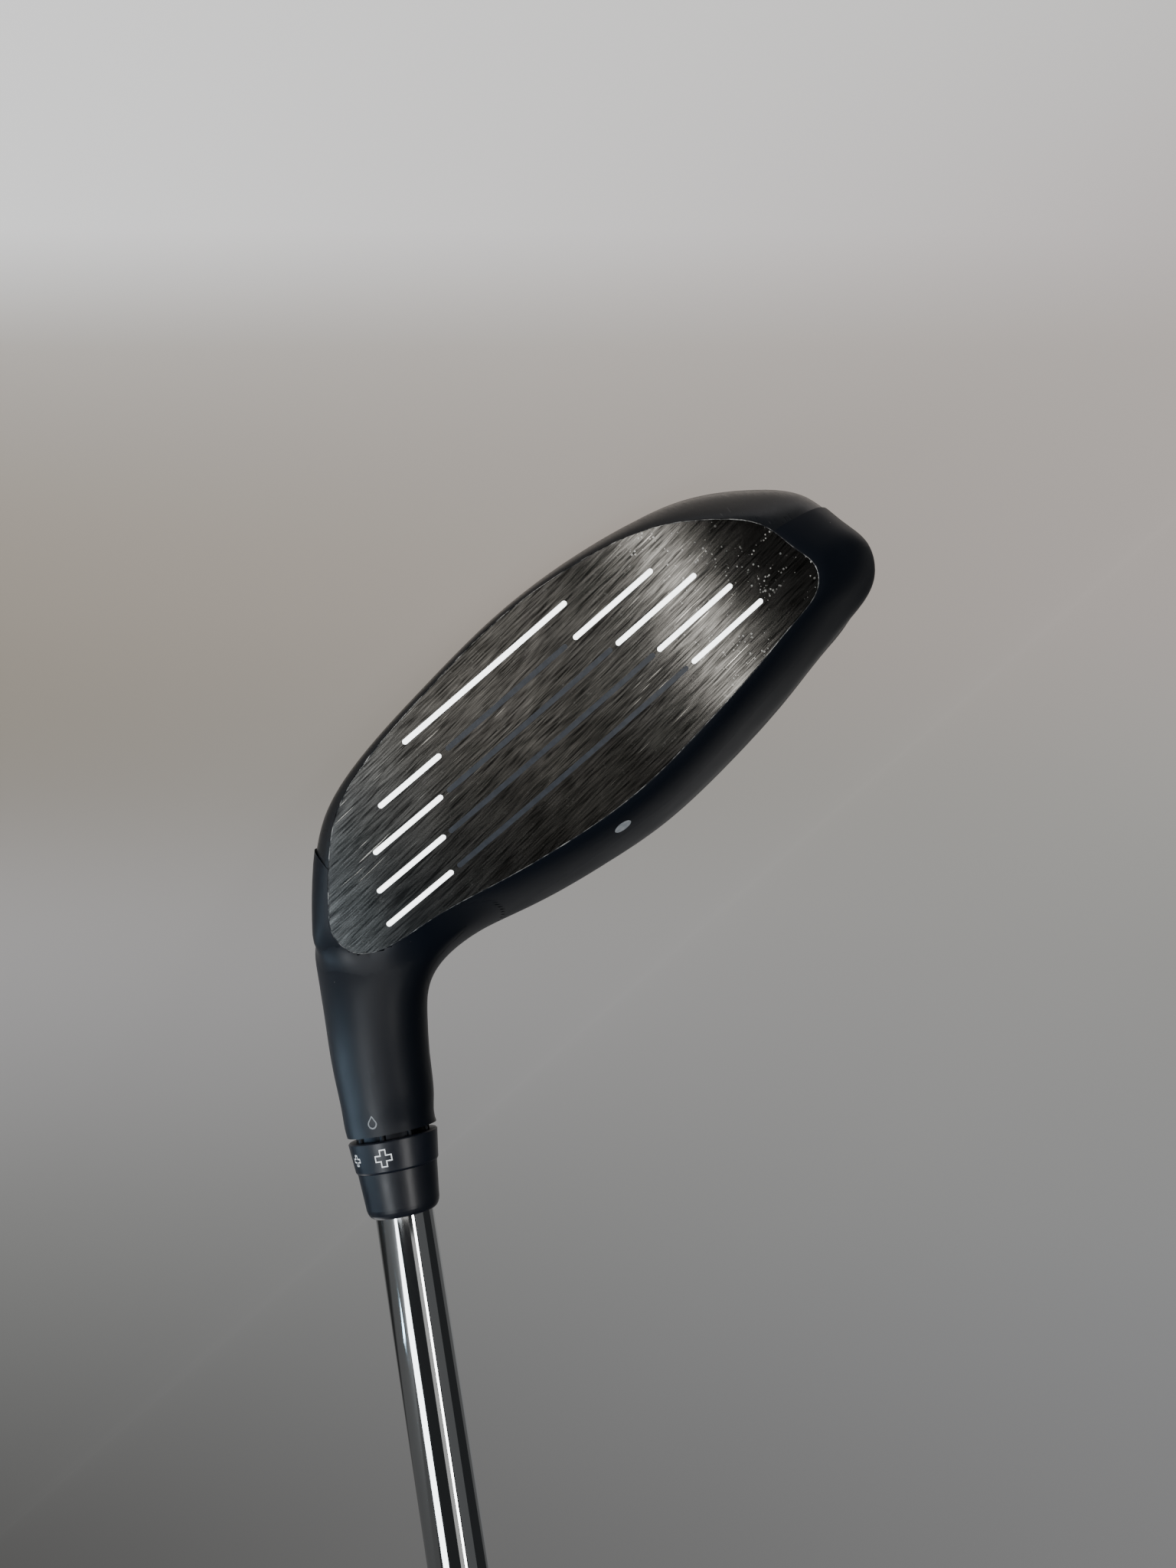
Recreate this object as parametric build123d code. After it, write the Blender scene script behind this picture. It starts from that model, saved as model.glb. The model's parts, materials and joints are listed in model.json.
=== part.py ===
"""Hybrid golf club with an adjustable hosel, right handed, as separate pieces.

Frame: millimetres, club soled at address.  Z is up from the ground, the face
looks along -Y, the toe points along -X and the shaft leans towards +X.  The
origin is the spot where the sole rests; pieces are modelled with the face
middle over Y = 0 and moved there when they are written.
"""
from build123d import *
from math import cos, pi, radians, sin, sqrt
import os

os.makedirs("parts", exist_ok=True)

# ---------------------------------------------------------------- dimensions
LOFT = 22.0                    # face angle from the vertical, degrees
LIE = 59.75                    # shaft axis from the ground, degrees
FACE_HEIGHT = 16.8             # middle of the face above the ground
FACE_RADIUS = 320.0            # bulge and roll of the face
FACE_PLATE = 2.1               # thickness of the face plate
GROOVE_DEPTH = 0.35
GROOVE_WIDTH = 0.84
PAINT_GAP = 0.03               # paint sits this far below the face

CROWN_PLATE = 0.8              # thickness of the crown plate
BODY_WALL = 1.35               # wall of the cast body
SOLE_PLATE = 1.7               # thickness of the sole plate
SOLE_RECESS = 0.35             # sole plate sits this far inside the body
TOE_SEAM_HEIGHT = 18.4         # top edge of the sole plate at the toe
HEEL_SEAM_X = 38.8             # heel end of the sole plate
SOLE_PLATE_BACK = 34.0         # rear edge of the sole plate
REST_Y = 12.0                  # resting spot behind the face middle

HOSEL_X, HOSEL_Y = 41.1, 15.0  # shaft axis at the height of the face middle
HOSEL_END = 38.05              # hosel mouth, measured up the axis
HOSEL_RADIUS = 7.25
HOSEL_BORE = 5.75
MOUTH_RADIUS = 6.30            # inner flats of the scalloped mouth
MOUTH_DEPTH = 3.4
LEDGE_TOP = 3.0                # ledge that the hosel screw pulls on
LEDGE_BOTTOM = 0.4
POCKET_RADIUS = 4.6            # screw pocket up from the sole

SLEEVE_END = 4.8               # lower end of the adapter sleeve
SLEEVE_RADIUS = 5.68
SLEEVE_LOBE = 6.18
SHAFT_TIP_RADIUS = 4.70        # 0.370 inch parallel tip
SHAFT_SEAT = 18.2              # shaft tip stops here
COLLAR_START, COLLAR_END = 38.95, 43.9
COLLAR_TOP_RADIUS, COLLAR_LOW_RADIUS = 7.23, 6.70
FERRULE_END = 51.2
SETTINGS = 8                   # clock positions of the adapter
MARK_LINE = 0.18               # painted outlines of the setting marks
MARK_BIG, MARK_SMALL = 2.8, 1.85
MARK_DROP, MARK_DROP_ANGLE = 1.5, 6.5

CLUB_LENGTH = 1009.65          # 39.75 inch, ground to butt along the axis
SHAFT_BUTT_RADIUS = 7.62       # 0.600 inch butt
STEP_FIRST, STEP_LAST, STEPS = 190.0, 680.0, 13
GRIP_LENGTH = 267.0
GRIP_MOUTH_RADIUS = 9.6
GRIP_BUTT_RADIUS = 13.6
CAP_RADIUS = 14.4
VENT_RADIUS = 1.6

SCREW_RADIUS = 2.5             # M5 x 0.8 hosel screw
SCREW_PITCH = 0.8
SCREW_HEAD_RADIUS = 4.2
SCREW_HEAD = 4.2
WEIGHT_RADIUS = 8.0
WEIGHT_THICKNESS = 5.0
WEIGHT_SCREW_RADIUS = 2.0      # M4 x 0.7
WEIGHT_X, WEIGHT_Y, WEIGHT_Z = -6.0, 46.5, 5.1
WEIGHT_TILT = 20.0

# Outline of the bare face: (towards the heel, up the face) from its middle.
FACE_OUTLINE = [
    (45.8, 6.9), (44.3, 11.2), (41.0, 12.8), (32.5, 14.0), (20.0, 16.5),
    (7.6, 18.8), (-6.0, 20.1), (-20.0, 19.3), (-33.0, 17.9), (-44.0, 16.4),
    (-49.8, 14.6), (-51.2, 12.2), (-50.4, 8.0), (-48.6, 1.8), (-43.1, -4.2),
    (-35.0, -9.5), (-22.5, -13.3), (-7.2, -14.8), (8.0, -13.8), (21.5, -12.0),
    (31.2, -8.8), (38.9, -2.5), (44.0, 3.1),
]
SKIRT, TOP, BOTTOM, TOE, HEEL = 10.0, 20.1, -14.8, 51.2, 45.8

# Cross sections of the head, from behind the face to the trailing edge:
# depth, share of face bulge, toe, heel, height of widest line, top, bottom,
# extra fullness towards the ends, rise of the heel end over the toe end.
HEAD_SECTIONS = [
    (0.1, 1.0, 51.4, 46.0, 10.0, 20.3, -14.95, 0.0, 0.0),
    (0.45, 1.0, 52.8, 47.0, 9.9, 21.2, -15.4, 0.0, -0.1),
    (1.5, 1.0, 55.1, 48.9, 10.2, 22.6, -15.7, 0.0, -0.2),
    (3.6, 0.95, 58.3, 50.4, 11.2, 24.4, -15.7, 0.0, -0.1),
    (8.0, 0.8, 62.1, 50.9, 13.4, 27.2, -15.0, 0.01, 0.3),
    (14.0, 0.4, 63.9, 50.1, 15.8, 30.0, -13.4, 0.07, 1.0),
    (22.0, 0.1, 62.4, 47.3, 17.4, 32.9, -10.3, 0.15, 1.2),
    (31.0, 0.0, 57.8, 42.4, 18.9, 35.2, -5.6, 0.22, 0.3),
    (40.0, 0.0, 50.2, 35.7, 20.5, 35.3, 0.2, 0.2, -0.5),
    (48.0, 0.0, 39.5, 27.2, 22.0, 33.1, 7.1, 0.12, -0.8),
    (54.0, 0.0, 28.0, 18.3, 23.2, 30.0, 13.3, 0.04, -0.6),
    (57.6, 0.0, 17.0, 11.0, 24.0, 27.6, 18.6, 0.0, -0.3),
    (59.4, 0.0, 7.5, 4.5, 24.6, 26.0, 22.4, 0.0, 0.0),
]

# Neck between head and hosel, square to the shaft axis:
# height up the axis, heel side, toe side, back, front.
NECK_SECTIONS = [
    (-2.0, 3.9, 19.6, 6.0, 2.6),
    (2.0, 5.8, 21.5, 7.9, 4.8),
    (5.5, 7.5, 21.0, 9.2, 6.2),
    (8.5, 8.15, 17.3, 9.6, 7.2),
    (11.5, 8.15, 13.0, 9.3, 7.7),
    (14.5, 8.1, 10.4, 8.9, 8.0),
    (18.0, 8.05, 9.05, 8.6, 8.1),
    (22.0, 8.05, 8.4, 8.3, 8.1),
    (26.0, 8.0, 8.0, 8.0, 7.95),
    (30.0, 7.75, 7.8, 7.75, 7.75),
    (34.0, 7.5, 7.5, 7.5, 7.5),
    (HOSEL_END, HOSEL_RADIUS, HOSEL_RADIUS, HOSEL_RADIUS, HOSEL_RADIUS),
]

# Score lines: height up the face, painted white spans, painted dark span.
SCORE_LINES = [
    (-10.1, [(-16.6, 16.6)], None),
    (-5.05, [(-26.1, -13.4), (13.8, 30.1)], (-12.3, 12.4)),
    (0.0, [(-31.7, -17.5), (18.3, 35.0)], (-16.5, 17.4)),
    (5.08, [(-35.5, -21.4), (22.7, 38.5)], (-20.6, 22.0)),
    (10.2, [(-38.1, -24.3), (25.7, 40.9)], (-23.3, 24.8)),
]

# ------------------------------------------------------------------- frames
CL, SL = cos(radians(LOFT)), sin(radians(LOFT))
CS, SS = cos(radians(LIE)), sin(radians(LIE))
FACE_MIDDLE = Vector(0, 0, FACE_HEIGHT)
FACE_PLANE = Plane(origin=FACE_MIDDLE, x_dir=(1, 0, 0), z_dir=(0, -CL, SL))
AXIS_PLANE = Plane(origin=(HOSEL_X, HOSEL_Y, FACE_HEIGHT), x_dir=(SS, 0, -CS),
                   z_dir=(CS, 0, SS))
BUTT = CLUB_LENGTH - FACE_HEIGHT / SS
WEIGHT_PLANE = Plane(origin=(WEIGHT_X, WEIGHT_Y, WEIGHT_Z), x_dir=(1, 0, 0),
                     z_dir=(0, sin(radians(WEIGHT_TILT)), -cos(radians(WEIGHT_TILT))))


def on_axis(shape, up=0.0):
    """Place a shape modelled about Z on the shaft axis."""
    return AXIS_PLANE.location * Pos(0, 0, up) * shape


def on_weight(shape, out=0.0):
    """Place a shape modelled about Z on the weight axis, Z out of the sole."""
    return WEIGHT_PLANE.location * Pos(0, 0, out) * shape


def turned(points):
    """Solid of revolution on the shaft axis from (radius, height) points."""
    profile = make_face(Plane.XZ * Polyline(*points, close=True))
    return on_axis(revolve(profile, Axis.Z))


def tube(outer, inner, low, high):
    """Plain tube on the shaft axis."""
    return turned([(inner, low), (outer, low), (outer, high), (inner, high)])


def rod(radius, low, high):
    """Plain round bar on the shaft axis."""
    return on_axis(Cylinder(radius, high - low, align=(Align.CENTER, Align.CENTER, Align.MIN)), low)


# ---------------------------------------------------------------- head forms
def face_point(x, v, depth, bulge=1.0):
    """Point behind the face: x across it, v up it, depth square to it."""
    fall = FACE_RADIUS - sqrt(FACE_RADIUS ** 2 - x * x - v * v)
    d = depth + bulge * fall
    return Vector(x, v * SL + d * CL, FACE_HEIGHT + v * CL - d * SL)


def closed_wire(points, marks, split):
    """Smooth closed curve through points at set parameters, in two edges."""
    curve = Edge.make_spline(points, parameters=marks, periodic=True)
    return Wire([curve.trim(0, marks[split]), curve.trim(marks[split], 1)])


def outline_marks():
    """Share of the way round the face outline at each of its points."""
    ends = FACE_OUTLINE[1:] + FACE_OUTLINE[:1]
    steps = [sqrt((b[0] - a[0]) ** 2 + (b[1] - a[1]) ** 2) for a, b in zip(FACE_OUTLINE, ends)]
    return [sum(steps[:k]) / sum(steps) for k in range(len(steps) + 1)]


def head_wire(section, inset):
    """One closed cross section of the head, drawn in by inset."""
    depth, bulge, toe, heel, skirt, top, bottom, fullness, lean = section
    points = []
    for x, v in FACE_OUTLINE:
        across = (heel - inset) / HEEL if x > 0 else (toe - inset) / TOE
        stretch = (top - inset - skirt) / (TOP - SKIRT)
        if v < SKIRT:
            stretch = (skirt - bottom - inset) / (SKIRT - BOTTOM)
        swell = 1 + fullness * abs(x) / (HEEL if x > 0 else TOE)
        up = (v - SKIRT) * stretch * swell
        points.append(face_point(x * across, skirt + up + lean * x / TOE, depth, bulge))
    return closed_wire(points, outline_marks(), FACE_OUTLINE.index((-51.2, 12.2)))


def head_form(inset=0.0, first=0, last=len(HEAD_SECTIONS)):
    """Smooth head volume; a positive inset gives the inside of a wall."""
    wires = [head_wire(section, inset) for section in HEAD_SECTIONS[first:last]]
    depth = HEAD_SECTIONS[first][0]
    front = Face.make_surface(wires[0], surface_points=[face_point(0, 2.5, depth + 1.0)])
    back = Face(wires[-1])
    skin = Shell.make_loft(wires)
    return Solid(Shell([*skin.faces(), front, back]))


def neck_form():
    """Neck and hosel as one smooth volume."""
    wires = []
    for up, heel, toe, back, front in NECK_SECTIONS:
        points = []
        for k in range(12):
            c, s = cos(k * pi / 6), sin(k * pi / 6)
            x = (heel if c > 0 else toe) * c
            y = (back if s > 0 else front) * s
            points.append(AXIS_PLANE.from_local_coords(Vector(x, y, up)))
        wires.append(closed_wire(points, [k / 12 for k in range(13)], 6))
    return Solid.make_loft(wires)


def ball(radius):
    """Ball whose front is the curved face, or a surface parallel to it."""
    return Pos(0, FACE_RADIUS * CL, FACE_HEIGHT - FACE_RADIUS * SL) * Sphere(radius)


def square_to_face(sketch, behind):
    """Prism of a face-plane sketch, from in front of the face to behind it."""
    return extrude(FACE_PLANE.offset(4) * sketch, amount=-(4 + behind))


def face_sketch(inset=0.0):
    """Outline of the bare face, drawn in by inset."""
    points = []
    for x, v in FACE_OUTLINE:
        x *= 1 - inset / (HEEL if x > 0 else TOE)
        v = SKIRT + (v - SKIRT) * (1 - inset / (TOP - SKIRT if v > SKIRT else SKIRT - BOTTOM))
        points.append((x, v))
    return make_face(Spline(*points, periodic=True))


def score_slot(span, height):
    """Round-ended score line across the face, from span in toe direction."""
    start, end = span
    slot = SlotOverall(end - start, GROOVE_WIDTH)
    return Pos(-(start + end) / 2, height) * slot


def score_slots(kind):
    """All score-line sketches of one paint colour."""
    slots = []
    for height, white, dark in SCORE_LINES:
        spans = white if kind == "white" else [dark] if dark else []
        slots.extend(score_slot(span, height) for span in spans)
    return slots


def crown_region(inset=0.0):
    """Tall block over the crown plate."""
    points = [(-6, 17), (-28, 18), (-45, 21), (-52, 28), (-48, 38), (-33, 48),
              (-10, 53.5), (11, 49), (25, 38), (28, 29), (22, 22), (10, 18.3)]
    middle = (-8, 34)
    scale = 1 - inset / 20
    drawn = [(middle[0] + (x - middle[0]) * scale, middle[1] + (y - middle[1]) * scale)
             for x, y in points]
    return extrude(Plane.XY.offset(24) * make_face(Spline(*drawn, periodic=True)), amount=30)


def sole_region():
    """Block under the head that the sole plate fills."""
    length = HEEL_SEAM_X + 80
    depth = SOLE_PLATE_BACK + 20
    block = Box(length, depth, TOE_SEAM_HEIGHT + 10, align=(Align.MIN, Align.MIN, Align.MIN))
    return Pos(-80, -20, -10) * block - rod(8.9, -22, 12)


def face_window():
    """Opening behind the face plate, leaving a ledge around it."""
    return square_to_face(face_sketch(2.4), 8.0) - rod(8.2, -22, 20)


def hexalobe(radius, depth):
    """Six-lobed driver socket about Z, going down from Z = 0."""
    sketch = Circle(radius * 0.74)
    for k in range(6):
        sketch += Rot(0, 0, 60 * k) * Pos(radius * 0.73, 0) * Circle(radius * 0.27)
    return extrude(sketch, amount=-depth)


def thread(radius, pitch, low, high):
    """Threaded bar about Z between two heights."""
    core = radius - 0.55 * pitch
    bar = Pos(0, 0, low) * Cylinder(core, high - low, align=(Align.CENTER, Align.CENTER, Align.MIN))
    helix = Pos(0, 0, low + pitch * 0.6) * Helix(pitch, high - low - pitch * 1.2, core - 0.05)
    half = 0.42 * pitch
    ridge = Polyline((-0.0, -half), (radius - core + 0.05, -0.08), (radius - core + 0.05, 0.08),
                     (-0.0, half), close=True)
    at = Plane(origin=helix @ 0, x_dir=(1, 0, 0), z_dir=helix % 0)
    return bar + sweep(at * make_face(ridge), path=helix, is_frenet=True)


# ---------------------------------------------------------------- head pieces
def face_plate():
    """Curved face plate with its score-line grooves."""
    plate = square_to_face(face_sketch(), 16) & ball(FACE_RADIUS)
    plate -= ball(FACE_RADIUS - FACE_PLATE)
    floor = ball(FACE_RADIUS - GROOVE_DEPTH)
    for slot in score_slots("white") + score_slots("dark"):
        plate -= square_to_face(slot, 8) - floor
    return plate


def score_paint(kind):
    """Paint that fills the grooves of one colour."""
    floor = ball(FACE_RADIUS - GROOVE_DEPTH)
    top = ball(FACE_RADIUS - PAINT_GAP)
    fills = [(square_to_face(slot, 8) & top) - floor for slot in score_slots(kind)]
    return Compound(children=[f.solids()[0] for f in fills])


def teardrop():
    """Outline of the index mark on the hosel, pointing down the axis."""
    def drop(line):
        side = MARK_DROP / 2 - line
        points = [(0, -1.5 * side), (0.55 * side, -0.8 * side), (side, 0.1 * side),
                  (0.68 * side, 0.9 * side), (0, 1.2 * side), (-0.68 * side, 0.9 * side),
                  (-side, 0.1 * side), (-0.55 * side, -0.8 * side)]
        return make_face(Spline(*points, periodic=True))
    return drop(0) - drop(MARK_LINE)


def plus_outline(size):
    """Outlined plus sign."""
    arm = 0.38 * size
    hole = arm - 2 * MARK_LINE
    outer = Rectangle(size, arm) + Rectangle(arm, size)
    inner = Rectangle(size - 2 * MARK_LINE, hole) + Rectangle(hole, size - 2 * MARK_LINE)
    return outer - inner


def minus_outline(size):
    """Outlined minus sign."""
    arm = 0.38 * size
    return Rectangle(size, arm) - Rectangle(size - 2 * MARK_LINE, arm - 2 * MARK_LINE)


def around(sketch, angle, up):
    """Sketch pushed outwards from the shaft axis; angle 0 faces the front."""
    spot = Plane(origin=(0, 0, up), x_dir=(cos(radians(angle)), sin(radians(angle)), 0),
                 z_dir=(sin(radians(angle)), -cos(radians(angle)), 0))
    return on_axis(extrude(spot * sketch, amount=12))


def skin_ring(low_radius, high_radius, low, high, shallow, deep):
    """Thin conical ring just under a round surface."""
    return turned([(low_radius - deep, low), (low_radius - shallow, low),
                   (high_radius - shallow, high), (high_radius - deep, high)])


def hosel_mark_cut(shallow, deep):
    """Index mark on the front of the hosel."""
    return around(teardrop(), MARK_DROP_ANGLE, 35.9) & skin_ring(7.55, 7.27, 33.0, 37.9, shallow, deep)


def dot_cut(shallow, deep):
    """Alignment dot on the front edge of the crown."""
    spot = Plane(origin=(-0.5, 14.7, 28.3), x_dir=(1, 0, 0), z_dir=(0, -0.21, 0.978))
    column = extrude(spot * Circle(1.55), amount=20)
    return (column & head_form(shallow)) - head_form(deep)


def crown_plate():
    """Thin welded crown plate."""
    return (crown_region() & head_form()) - head_form(CROWN_PLATE)


def sole_plate():
    """Recessed sole plate with a small flat where the club rests."""
    skin = head_form(SOLE_RECESS) - head_form(SOLE_RECESS + SOLE_PLATE, first=3)
    plate = skin & sole_region()
    plate -= square_to_face(face_sketch(-0.12), 16) - ball(FACE_RADIUS - FACE_PLATE)
    plate -= face_window()
    plate -= Pos(0, 0, -5) * Box(200, 200, 10)
    return max(plate.solids(), key=lambda s: s.volume)


def head_body():
    """Hollow cast body with hosel, screw ledge and weight pocket."""
    outer = head_form() + neck_form()
    cavity = head_form(BODY_WALL, first=3, last=len(HEAD_SECTIONS) - 2)
    cavity -= rod(8.2, -22, 24)
    cavity -= on_weight(Cylinder(10.4, 23))
    body = outer - cavity
    body -= square_to_face(face_sketch(), 16) - ball(FACE_RADIUS - FACE_PLATE)
    body -= face_window()
    body -= crown_region() - head_form(CROWN_PLATE)
    body -= crown_region(2.4)
    body -= sole_region() - head_form(SOLE_RECESS + SOLE_PLATE, first=3)
    body -= rod(HOSEL_BORE, LEDGE_TOP, HOSEL_END + 5)
    body -= rod(SCREW_RADIUS + 0.3, -1, 5)
    body -= rod(POCKET_RADIUS, -30, LEDGE_BOTTOM)
    body -= rod(MOUTH_RADIUS, HOSEL_END - MOUTH_DEPTH, HOSEL_END + 5)
    for k in range(SETTINGS):
        pocket = Pos(MOUTH_RADIUS, 0) * Cylinder(0.42, 20, align=(Align.CENTER, Align.CENTER, Align.MIN))
        body -= on_axis(Rot(0, 0, 360 / SETTINGS * k) * pocket, HOSEL_END - MOUTH_DEPTH)
    body -= on_weight(Cylinder(WEIGHT_RADIUS + 0.3, 40, align=(Align.CENTER, Align.CENTER, Align.MIN)),
                      -WEIGHT_THICKNESS - 0.8)
    body -= on_weight(Cylinder(WEIGHT_SCREW_RADIUS + 0.08, 10), -WEIGHT_THICKNESS)
    body -= hosel_mark_cut(-1.0, 0.12)
    body -= dot_cut(-0.5, 0.12)
    body -= Pos(0, 0, -5) * Box(200, 200, 10)
    return max(body.solids(), key=lambda s: s.volume)


def rear_weight():
    """Round weight with a counterbored screw hole."""
    puck = Cylinder(WEIGHT_RADIUS, WEIGHT_THICKNESS, align=(Align.CENTER, Align.CENTER, Align.MAX))
    puck = chamfer(puck.edges().group_by(Axis.Z)[-1], 0.5)
    puck -= Cylinder(WEIGHT_SCREW_RADIUS + 0.12, 30)
    puck -= Cylinder(3.6, 5.0)
    return on_weight(puck, -0.5)


def weight_screw():
    """M4 screw of the rear weight."""
    screw = Cylinder(3.45, 2.2, align=(Align.CENTER, Align.CENTER, Align.MAX))
    screw = chamfer(screw.edges().group_by(Axis.Z)[-1], 0.3)
    screw -= hexalobe(1.9, 1.5)
    screw = Pos(0, 0, -0.2) * screw + thread(WEIGHT_SCREW_RADIUS, 0.7, -8.8, -2.3)
    return on_weight(screw, -0.5)


def hosel_screw():
    """M5 screw that pulls the head onto the adapter."""
    head = Cylinder(SCREW_HEAD_RADIUS, SCREW_HEAD, align=(Align.CENTER, Align.CENTER, Align.MIN))
    head = chamfer(head.edges().group_by(Axis.Z)[0], 0.4)
    head -= Rot(180, 0, 0) * hexalobe(2.3, 2.8)
    screw = Pos(0, 0, LEDGE_BOTTOM - 0.15 - SCREW_HEAD) * head
    screw += thread(SCREW_RADIUS, SCREW_PITCH, LEDGE_BOTTOM - 0.4, 14.2)
    return on_axis(screw)


def screw_retainer():
    """Nylon washer that keeps the hosel screw in the head."""
    return tube(HOSEL_BORE - 0.15, SCREW_RADIUS + 0.08, LEDGE_TOP + 0.15, LEDGE_TOP + 1.35)


# ---------------------------------------------------------------- shaft pieces
def adapter_sleeve():
    """Aluminium sleeve glued to the shaft tip, with index lobes."""
    sleeve = turned([(0, SLEEVE_END), (SLEEVE_RADIUS - 0.5, SLEEVE_END),
                     (SLEEVE_RADIUS, SLEEVE_END + 0.5), (SLEEVE_RADIUS, 44.5), (0, 44.5)])
    low = HOSEL_END - MOUTH_DEPTH + 0.4
    lobes = Cylinder(0.5, COLLAR_START - low, align=(Align.CENTER, Align.CENTER, Align.MIN))
    for k in range(SETTINGS):
        lobe = Rot(0, 0, 360 / SETTINGS * k) * Pos(SLEEVE_LOBE - 0.5, 0) * lobes
        sleeve += on_axis(lobe, low)
    sleeve -= rod(SCREW_RADIUS + 0.06, 0, 15.2)
    sleeve -= rod(SHAFT_TIP_RADIUS + 0.04, 16.0, 60)
    return sleeve


def collar_angles():
    """Mark sketches of the setting collar with their angles."""
    middle = Circle(0.4 * MARK_SMALL) - Circle(0.4 * MARK_SMALL - MARK_LINE)
    marks = [plus_outline(MARK_BIG), plus_outline(MARK_SMALL), middle,
             minus_outline(MARK_SMALL), minus_outline(MARK_BIG)]
    return [(sketch, 360 / SETTINGS * k) for k, sketch in enumerate(marks)]


def collar_skin(shallow, deep):
    """Ring just under the outside of the setting collar."""
    return skin_ring(COLLAR_TOP_RADIUS, COLLAR_LOW_RADIUS, COLLAR_START + 0.2, COLLAR_END - 0.3,
                     shallow, deep)


def setting_collar():
    """Marked ring between hosel and ferrule."""
    low, high = COLLAR_START, COLLAR_END
    ring = turned([(SLEEVE_RADIUS + 0.03, low), (COLLAR_TOP_RADIUS - 0.2, low),
                   (COLLAR_TOP_RADIUS, low + 0.2), (COLLAR_LOW_RADIUS, high - 0.3),
                   (COLLAR_LOW_RADIUS - 0.2, high), (SLEEVE_RADIUS + 0.03, high)])
    skin = collar_skin(-1.0, 0.1)
    for sketch, angle in collar_angles():
        ring -= around(sketch, angle, 41.5) & skin
    return ring


def collar_marks():
    """Paint in the marks of the setting collar."""
    skin = collar_skin(0.02, 0.1)
    marks = [around(sketch, angle, 41.5) & skin for sketch, angle in collar_angles()]
    return Compound(children=[solid for mark in marks for solid in mark.solids()])


def ferrule():
    """Tapered trim ring that ends in a round shoulder on the shaft."""
    profile = [(SHAFT_TIP_RADIUS + 0.03, 44.6), (SLEEVE_RADIUS + 0.03, 44.6),
               (SLEEVE_RADIUS + 0.03, 43.95), (6.42, 43.95), (5.93, 49.2)]
    profile += [(4.83 + 1.1 * cos(radians(a)), 49.2 + 2.0 * sin(radians(a))) for a in range(15, 90, 15)]
    profile += [(SHAFT_TIP_RADIUS + 0.03, FERRULE_END)]
    return turned(profile)


def tip_plug():
    """Small disc that closes the shaft tip."""
    return rod(SHAFT_TIP_RADIUS - 0.1, 16.05, SHAFT_SEAT - 0.05)


def shaft():
    """Stepped steel tube with a parallel tip."""
    outer = [(SHAFT_TIP_RADIUS, SHAFT_SEAT)]
    rise = (SHAFT_BUTT_RADIUS - SHAFT_TIP_RADIUS) / STEPS
    for k in range(STEPS):
        at = STEP_FIRST + (STEP_LAST - STEP_FIRST) * k / (STEPS - 1)
        outer.append((SHAFT_TIP_RADIUS + rise * k, at))
        outer.append((SHAFT_TIP_RADIUS + rise * (k + 1), at + 1.2))
    outer.append((SHAFT_BUTT_RADIUS, BUTT - 6.2))
    wall = [(SHAFT_BUTT_RADIUS - 0.5, BUTT - 6.2), (SHAFT_BUTT_RADIUS - 0.5, STEP_LAST),
            (SHAFT_TIP_RADIUS - 0.65, STEP_FIRST - 2), (SHAFT_TIP_RADIUS - 0.65, SHAFT_SEAT)]
    return turned(outer + wall)


def grip_tape():
    """Tape between shaft and grip."""
    return tube(SHAFT_BUTT_RADIUS + 0.16, SHAFT_BUTT_RADIUS + 0.01, BUTT - GRIP_LENGTH + 4, BUTT - 6.4)


def grip():
    """Tapered rubber grip with a rolled mouth and shallow rings."""
    low, high = BUTT - GRIP_LENGTH, BUTT - 10.0
    bore = SHAFT_BUTT_RADIUS + 0.17
    outer = [(bore, low), (GRIP_MOUTH_RADIUS - 1.1, low), (GRIP_MOUTH_RADIUS - 0.3, low + 1.0),
             (GRIP_MOUTH_RADIUS, low + 3.0), (GRIP_MOUTH_RADIUS, low + 6.0)]
    for k in range(3):
        at = low + 7.0 + 3.0 * k
        outer += [(GRIP_MOUTH_RADIUS - 0.45, at), (GRIP_MOUTH_RADIUS - 0.45, at + 1.0),
                  (GRIP_MOUTH_RADIUS, at + 1.3)]
    outer += [(GRIP_MOUTH_RADIUS + 1.2, low + 70), (GRIP_MOUTH_RADIUS + 2.5, low + 150),
              (GRIP_BUTT_RADIUS - 0.3, high - 30), (GRIP_BUTT_RADIUS, high), (bore, high)]
    return turned(outer)


def grip_cap():
    """End cap of the grip with its vent hole."""
    low = BUTT - 9.95
    bore = SHAFT_BUTT_RADIUS + 0.17
    rim = [(bore, low), (CAP_RADIUS - 0.4, low), (CAP_RADIUS, low + 0.4), (CAP_RADIUS, BUTT - 1.6)]
    rim += [(CAP_RADIUS - 1.6 + 1.6 * cos(radians(a)), BUTT - 1.6 + 1.6 * sin(radians(a)))
            for a in (30, 60, 90)]
    rim += [(VENT_RADIUS + 0.6, BUTT), (VENT_RADIUS, BUTT - 0.6)]
    rim += [(VENT_RADIUS, BUTT - 6.0), (bore, BUTT - 6.0)]
    return turned(rim)


# --------------------------------------------------------------------- export
PIECES = {
    "head_body": head_body,
    "face_plate": face_plate,
    "crown_plate": crown_plate,
    "sole_plate": sole_plate,
    "white_line_fill": lambda: score_paint("white"),
    "dark_line_fill": lambda: score_paint("dark"),
    "alignment_dot": lambda: dot_cut(0.02, 0.12),
    "hosel_mark": lambda: hosel_mark_cut(0.02, 0.12),
    "rear_weight": rear_weight,
    "weight_screw": weight_screw,
    "hosel_screw": hosel_screw,
    "screw_retainer": screw_retainer,
    "adapter_sleeve": adapter_sleeve,
    "setting_collar": setting_collar,
    "collar_marks": collar_marks,
    "ferrule": ferrule,
    "tip_plug": tip_plug,
    "shaft": shaft,
    "grip_tape": grip_tape,
    "grip": grip,
    "grip_cap": grip_cap,
}

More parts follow.
